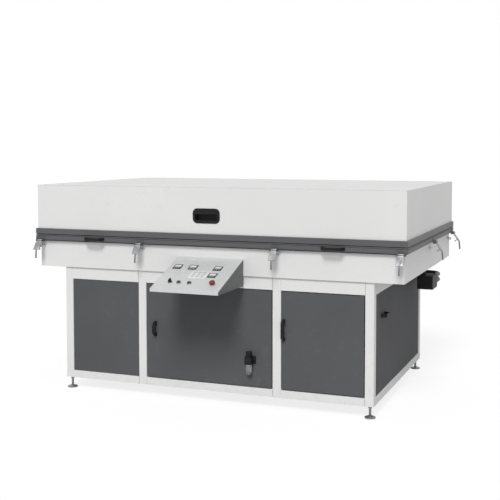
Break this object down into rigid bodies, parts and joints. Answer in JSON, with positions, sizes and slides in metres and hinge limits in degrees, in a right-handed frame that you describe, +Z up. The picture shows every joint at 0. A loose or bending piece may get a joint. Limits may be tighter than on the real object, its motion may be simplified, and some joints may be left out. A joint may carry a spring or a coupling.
{
  "type": "vacuum membrane heat press",
  "caption": "Floor-standing heat press: a cabinet base with a sloping console, a vacuum table, a hinged membrane frame with swing latches and a hinged heating hood.",
  "frame": {"origin": "centre of the press on the floor, midway between its ends and between the console's nose and the lift cranks", "axes": "+X along the length to the operator's right, +Y from the operator to the rear, +Z up"},
  "size_m": [2.8762, 2.2339, 1.473],
  "materials": {
    "white_paint": "satin powder coat",
    "dark_paint": "satin powder coat",
    "band_paint": "satin powder coat",
    "console_grey": "satin powder coat",
    "panel_silver": "fine brushed",
    "black_plastic": "fine grain",
    "zinc": "zinc plated",
    "inner_grey": "satin",
    "galvanised": "galvanised sheet",
    "black_rubber": "matte",
    "membrane_silicone": "smooth silicone",
    "smoked_glass": "gloss",
    "keypad_white": "satin film",
    "button_grey": "gloss",
    "stop_red": "gloss",
    "pump_blue": "gloss enamel",
    "bowl_clear": "clear",
    "insulation_wool": "foil-faced quilt",
    "quartz": "clear",
    "ear_steel": "satin"
  },
  "bodies": {
    "base": {"frame_posts": "white_paint", "frame_rails": "white_paint", "foot_pads": "zinc", "foot_studs": "zinc", "floor_shelf": "galvanised", "fixed_panels": "dark_paint", "end_handles": "black_plastic", "table_skirt": "white_paint", "table_rim": "white_paint", "table_tray": "galvanised", "table_bearers": "inner_grey", "bed_plate": "galvanised", "table_seal": "black_rubber", "console_box": "console_grey", "control_panel": "panel_silver", "displays": "smoked_glass", "keypad": "keypad_white", "button_bezels": "zinc", "vacuum_block": "black_plastic", "vacuum_pipes": "black_plastic", "vacuum_tank": "pump_blue", "vacuum_pump": "pump_blue", "electrical_panel": "galvanised", "hinge_brackets": "ear_steel", "hinge_pins": "zinc", "lift_cylinders": "panel_silver"},
    "lift_rod_left": {"lift_rod_left": "zinc"},
    "lift_rod_right": {"lift_rod_right": "zinc"},
    "membrane_frame": {"membrane_frame": "band_paint", "membrane": "membrane_silicone", "membrane_strips": "band_paint", "frame_handles": "black_plastic", "frame_hinge_arms": "ear_steel", "latch_brackets": "ear_steel"},
    "hood": {"hood_frame": "band_paint", "hood_seal": "black_rubber", "hood_shell": "white_paint", "hood_pull": "black_plastic", "hood_insulation": "insulation_wool", "heater_rails": "galvanised", "heater_tubes": "quartz"},
    "centre_door": {"centre_door": "dark_paint", "centre_door_handle": "black_plastic", "regulator": "black_plastic", "regulator_bowl": "bowl_clear"},
    "regulator_knob": {"regulator_knob": "black_plastic"},
    "right_door": {"right_door": "dark_paint", "right_door_handle": "black_plastic"},
    "start_button": {"start_button": "button_grey"},
    "stop_button": {"stop_button": "button_grey"},
    "emergency_stop": {"emergency_stop": "stop_red"},
    "mode_selector": {"mode_selector": "black_plastic"},
    "latch_front_left": {"latch_front_left": "zinc"},
    "latch_front_right": {"latch_front_right": "zinc"},
    "latch_right_front": {"latch_right_front": "zinc"},
    "latch_right_middle": {"latch_right_middle": "zinc"},
    "latch_right_rear": {"latch_right_rear": "zinc"},
    "latch_left_front": {"latch_left_front": "zinc"},
    "latch_left_middle": {"latch_left_middle": "zinc"},
    "latch_left_rear": {"latch_left_rear": "zinc"}
  },
  "joints": [
    {"name": "frame_lift", "type": "hinge", "parent": "base", "child": "membrane_frame", "pos_m": [0, 1.04505, 1.071], "axis": [-1, 0, 0], "range_deg": [0, 42]},
    {"name": "hood_lift", "type": "hinge", "parent": "membrane_frame", "child": "hood", "pos_m": [0, 1.04505, 1.071], "axis": [-1, 0, 0], "range_deg": [0, 40]},
    {"name": "lift_rod_left_slide", "type": "slide", "parent": "base", "child": "lift_rod_left", "axis": [0, -1, 0], "range_m": [0, 0.09981]},
    {"name": "lift_rod_right_slide", "type": "slide", "parent": "base", "child": "lift_rod_right", "axis": [0, -1, 0], "range_m": [0, 0.09981]},
    {"name": "latch_front_left_swing", "type": "hinge", "parent": "membrane_frame", "child": "latch_front_left", "pos_m": [-0.52, -0.73695, 1.073], "axis": [-1, 0, 0], "range_deg": [-35, 40]},
    {"name": "latch_front_right_swing", "type": "hinge", "parent": "membrane_frame", "child": "latch_front_right", "pos_m": [0.48, -0.73695, 1.073], "axis": [-1, 0, 0], "range_deg": [-35, 40]},
    {"name": "latch_right_front_swing", "type": "hinge", "parent": "membrane_frame", "child": "latch_right_front", "pos_m": [1.322, -0.73695, 1.073], "axis": [-1, 0, 0], "range_deg": [-35, 40]},
    {"name": "latch_right_middle_swing", "type": "hinge", "parent": "membrane_frame", "child": "latch_right_middle", "pos_m": [1.382, 0.14005, 1.073], "axis": [0, -1, 0], "range_deg": [-35, 40]},
    {"name": "latch_right_rear_swing", "type": "hinge", "parent": "membrane_frame", "child": "latch_right_rear", "pos_m": [1.382, 0.90005, 1.073], "axis": [0, -1, 0], "range_deg": [-35, 40]},
    {"name": "latch_left_front_swing", "type": "hinge", "parent": "membrane_frame", "child": "latch_left_front", "pos_m": [-1.322, -0.73695, 1.073], "axis": [-1, 0, 0], "range_deg": [-35, 40]},
    {"name": "latch_left_middle_swing", "type": "hinge", "parent": "membrane_frame", "child": "latch_left_middle", "pos_m": [-1.382, 0.14005, 1.073], "axis": [0, 1, 0], "range_deg": [-35, 40]},
    {"name": "latch_left_rear_swing", "type": "hinge", "parent": "membrane_frame", "child": "latch_left_rear", "pos_m": [-1.382, 0.90005, 1.073], "axis": [0, 1, 0], "range_deg": [-35, 40]},
    {"name": "centre_door_swing", "type": "hinge", "parent": "base", "child": "centre_door", "pos_m": [0.434, -0.66595, 0.48], "axis": [0, 0, 1], "range_deg": [0, 95]},
    {"name": "right_door_swing", "type": "hinge", "parent": "base", "child": "right_door", "pos_m": [1.065, -0.66595, 0.48], "axis": [0, 0, 1], "range_deg": [0, 110]},
    {"name": "regulator_knob_turn", "type": "hinge", "parent": "centre_door", "child": "regulator_knob", "pos_m": [0.295, -0.70995, 0.36], "axis": [0, 0, 1], "range_deg": [-150, 150]},
    {"name": "start_button_press", "type": "slide", "parent": "base", "child": "start_button", "axis": [0, 0.3543, -0.9351], "range_m": [0, 0.004], "stiffness_N_per_m": 600},
    {"name": "stop_button_press", "type": "slide", "parent": "base", "child": "stop_button", "axis": [0, 0.3543, -0.9351], "range_m": [0, 0.004], "stiffness_N_per_m": 600},
    {"name": "emergency_stop_press", "type": "slide", "parent": "base", "child": "emergency_stop", "axis": [0, 0.3543, -0.9351], "range_m": [0, 0.004], "stiffness_N_per_m": 1500},
    {"name": "mode_selector_turn", "type": "hinge", "parent": "base", "child": "mode_selector", "pos_m": [-0.129, -1.03167, 0.87372], "axis": [0, -0.3543, 0.9351], "range_deg": [-45, 45]}
  ],
  "couplings": [
    {"joint": "lift_rod_left_slide", "follows": "frame_lift", "m_per_rad": 0.13615},
    {"joint": "lift_rod_right_slide", "follows": "frame_lift", "m_per_rad": 0.13615}
  ]
}
